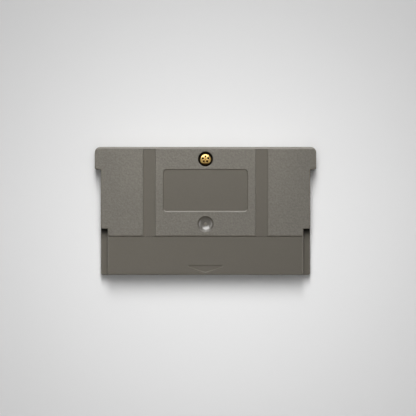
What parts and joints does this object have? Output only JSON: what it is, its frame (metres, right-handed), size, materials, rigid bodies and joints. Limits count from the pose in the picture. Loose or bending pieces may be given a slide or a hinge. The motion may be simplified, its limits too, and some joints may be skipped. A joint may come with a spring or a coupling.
{
  "type": "handheld game cartridge",
  "caption": "Flat grey plastic cartridge with eared grip end, narrow rear tongue, recessed panel, sunk screw and an edge connector that plugs into a handheld console.",
  "frame": {"origin": "middle of the footprint, on the plane of the front face that the cartridge lies on", "axes": "+X across the width, to the right when the rear face is seen; +Y from the connector end to the grip end; +Z through the thickness, out of the rear face with the screw"},
  "size_m": [0.06, 0.0346, 0.008],
  "materials": {
    "shell_grey": "matte",
    "screw_brass": "polished",
    "label_film": "gloss",
    "board_green": "satin",
    "contact_gold": "polished",
    "chip_black": "matte",
    "tinned_metal": "satin",
    "cell_steel": "satin",
    "capacitor_tan": "satin"
  },
  "bodies": {
    "root": {"front_shell": "shell_grey", "rear_shell": "shell_grey", "case_screw": "screw_brass", "front_label": "label_film", "circuit_board": "board_green", "edge_contacts": "contact_gold", "rom_chip": "chip_black", "rom_leads": "tinned_metal", "save_ram_chip": "chip_black", "save_ram_leads": "tinned_metal", "supply_switch_chip": "chip_black", "supply_switch_leads": "tinned_metal", "logic_chip": "chip_black", "logic_leads": "tinned_metal", "backup_battery": "cell_steel", "battery_top_tab": "cell_steel", "battery_bottom_tab": "cell_steel", "tab_solder": "tinned_metal", "ceramic_capacitors": "capacitor_tan", "capacitor_end_caps": "tinned_metal", "chip_resistors": "chip_black", "resistor_end_caps": "tinned_metal", "steering_diode": "chip_black", "diode_leads": "tinned_metal"}
  },
  "joints": []
}
